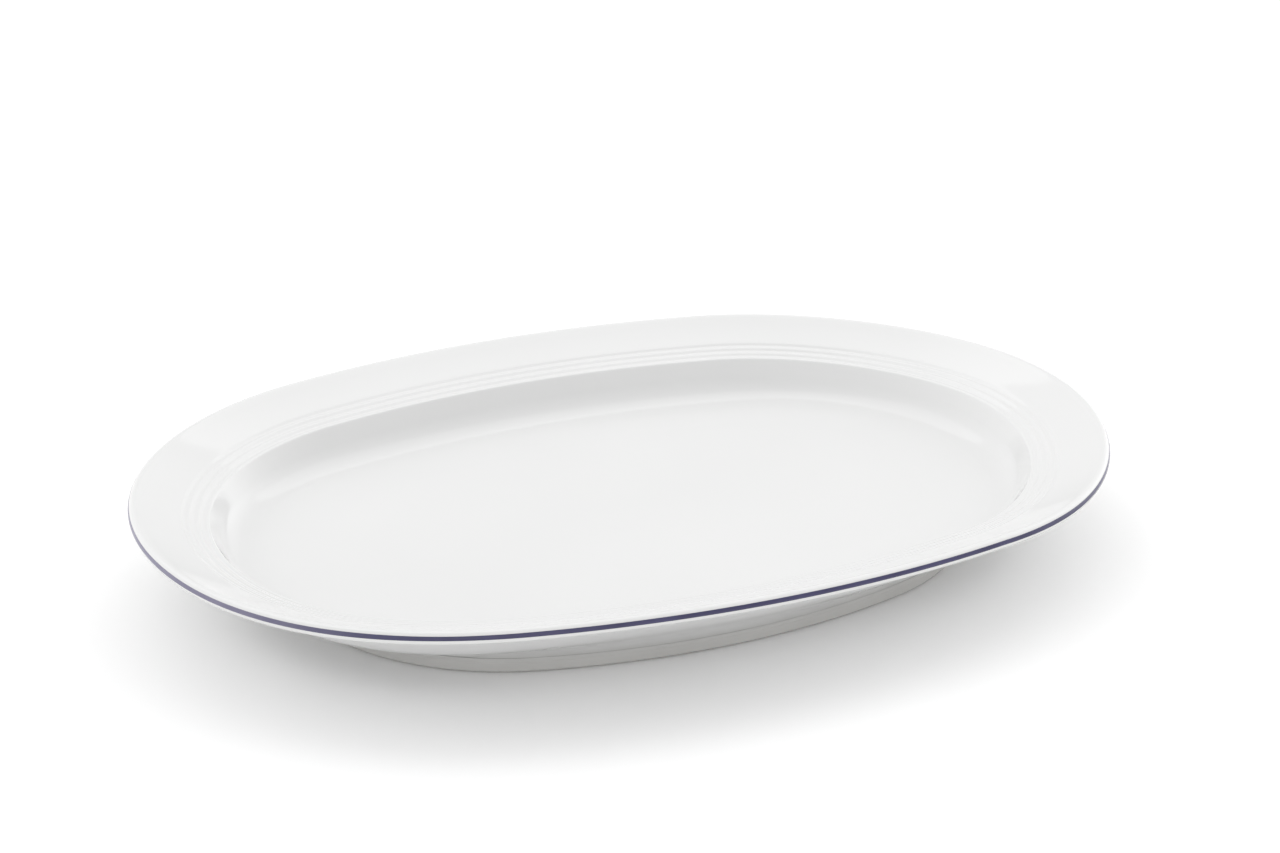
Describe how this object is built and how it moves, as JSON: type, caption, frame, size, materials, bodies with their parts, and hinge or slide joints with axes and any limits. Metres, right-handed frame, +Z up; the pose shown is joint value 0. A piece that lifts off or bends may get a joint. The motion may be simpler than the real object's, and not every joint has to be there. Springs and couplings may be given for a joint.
{
  "type": "serving platter",
  "caption": "Oval white porcelain serving platter with a sloping grooved rim, a blue line round its edge, a shallow well and a flared foot ring to stand on.",
  "frame": {"origin": "centre of the flat face that the foot ring stands on", "axes": "+X along the platter's length, +Y across its width, +Z up out of the well"},
  "size_m": [0.36, 0.256, 0.0377],
  "materials": {
    "glazed_porcelain": "gloss",
    "bare_porcelain": "gloss flanks, bare ground bearing face",
    "blue_enamel": "gloss"
  },
  "bodies": {
    "root": {"platter_body": "glazed_porcelain", "foot_ring": "bare_porcelain", "blue_edge_line": "blue_enamel"}
  },
  "joints": []
}
